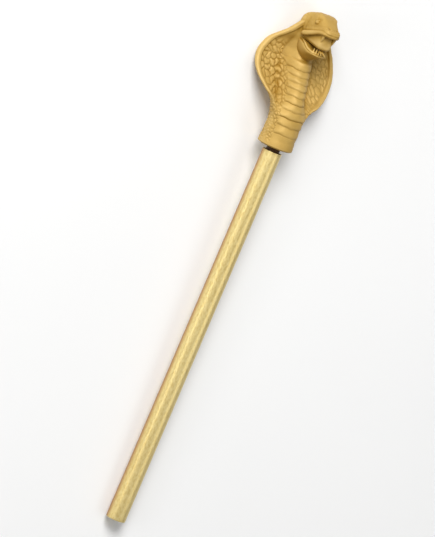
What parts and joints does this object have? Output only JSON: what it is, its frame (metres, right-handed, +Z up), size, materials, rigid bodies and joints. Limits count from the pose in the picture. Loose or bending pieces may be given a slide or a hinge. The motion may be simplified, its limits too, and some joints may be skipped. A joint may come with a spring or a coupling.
{
  "type": "sceptre",
  "caption": "Sceptre lying on its back: a straight round tube, closed at the foot, joined by a short threaded neck to a cobra's head with spread hood and open mouth.",
  "frame": {"origin": "on the surface the sceptre lies on, under the middle of its overall length and width", "axes": "+X along the length towards the cobra's head, +Z up out of the surface and out of the cobra's belly, +Y to the cobra's right hand side"},
  "size_m": [0.4854, 0.0842, 0.047],
  "materials": {
    "tube_gold": "satin metallic gold coating",
    "connector_brown": "dark brown moulded plastic",
    "cobra_gold": "matte gold paint"
  },
  "bodies": {
    "root": {"tube": "tube_gold", "connector": "connector_brown", "cobra": "cobra_gold"}
  },
  "joints": []
}
